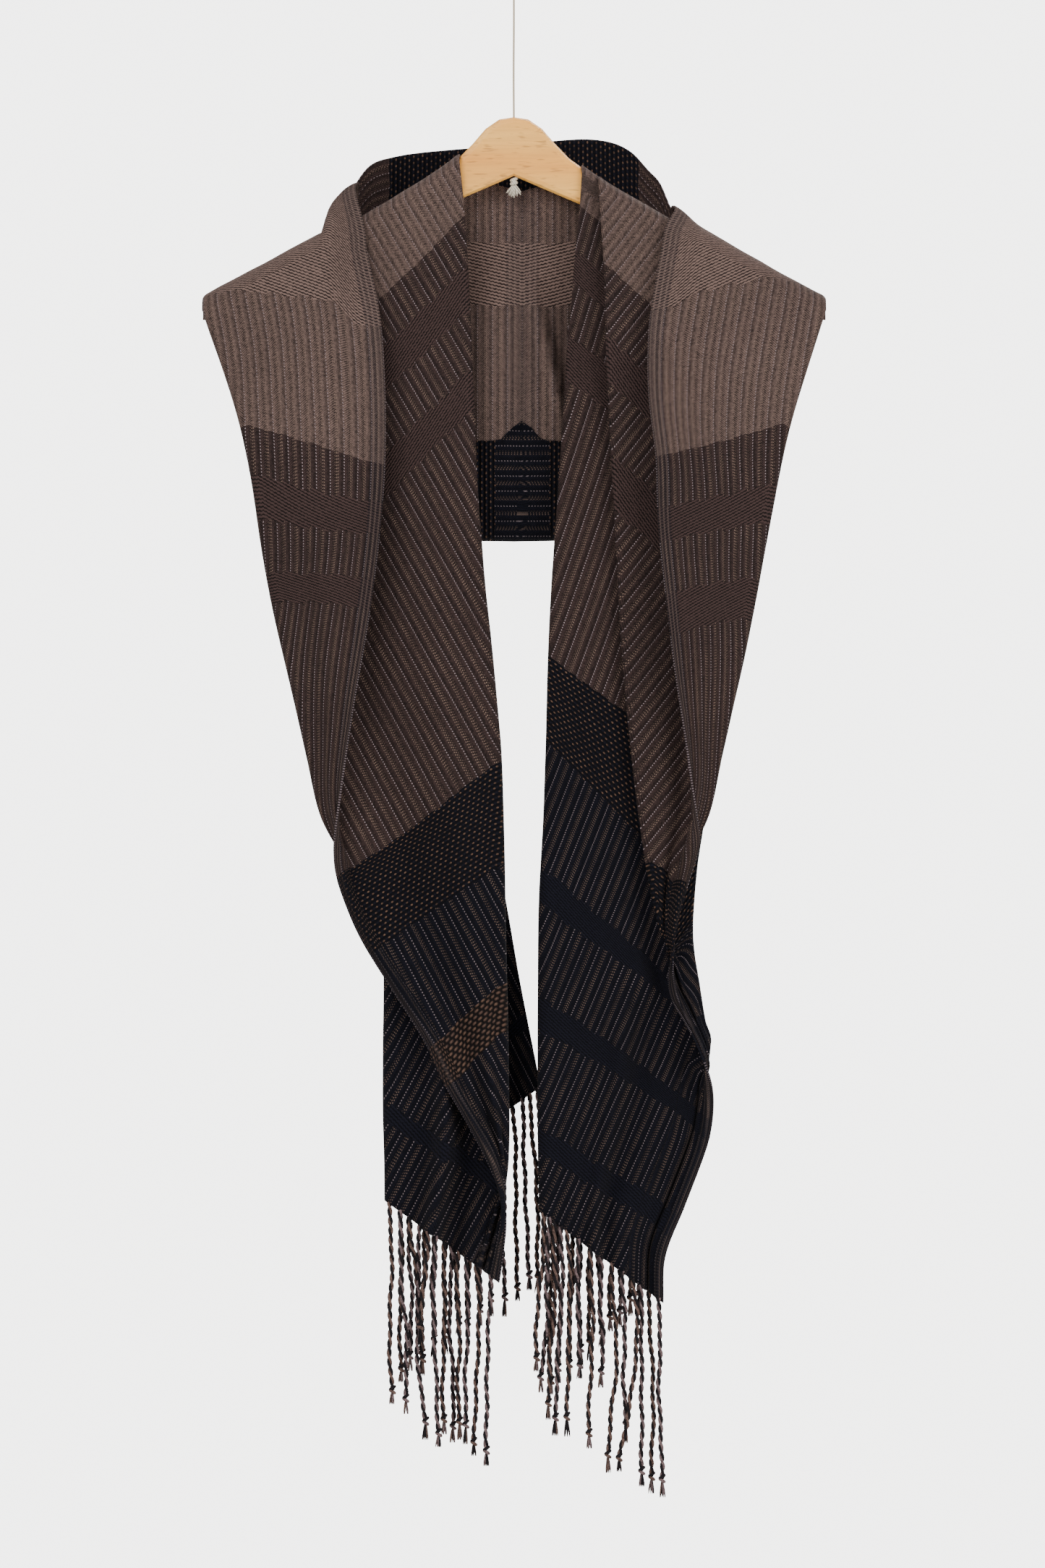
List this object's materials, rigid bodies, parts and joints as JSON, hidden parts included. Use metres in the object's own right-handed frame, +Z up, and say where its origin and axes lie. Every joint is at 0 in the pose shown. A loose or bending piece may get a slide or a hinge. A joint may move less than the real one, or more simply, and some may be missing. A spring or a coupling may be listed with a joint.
{
  "type": "hooded scarf on wooden hanger",
  "caption": "Long handwoven scarf with a soft hood and twisted fringe, folded over the arms of a wooden hanger that hangs from a string.",
  "frame": {"origin": "top of the string loop, where a hook or nail holds it", "axes": "+Z up along the string, +X to the viewer's right, -Y towards the viewer, the side where the two fringed ends hang"},
  "size_m": [0.4311, 0.0983, 1.0698],
  "materials": {
    "cloth_ends": "matt handwoven wool, striped",
    "cloth_hood": "matt handwoven wool, striped and checked",
    "wood": "lightly varnished beech",
    "string": "rough natural twine",
    "yarn": "twisted wool yarn"
  },
  "bodies": {
    "root": {"left_end": "cloth_ends", "right_end": "cloth_ends", "hood": "cloth_hood", "hanger": "wood", "string": "string", "string_end": "string", "left_front_fringe": "yarn", "left_back_fringe": "yarn", "right_front_fringe": "yarn", "right_back_fringe": "yarn"}
  },
  "joints": []
}
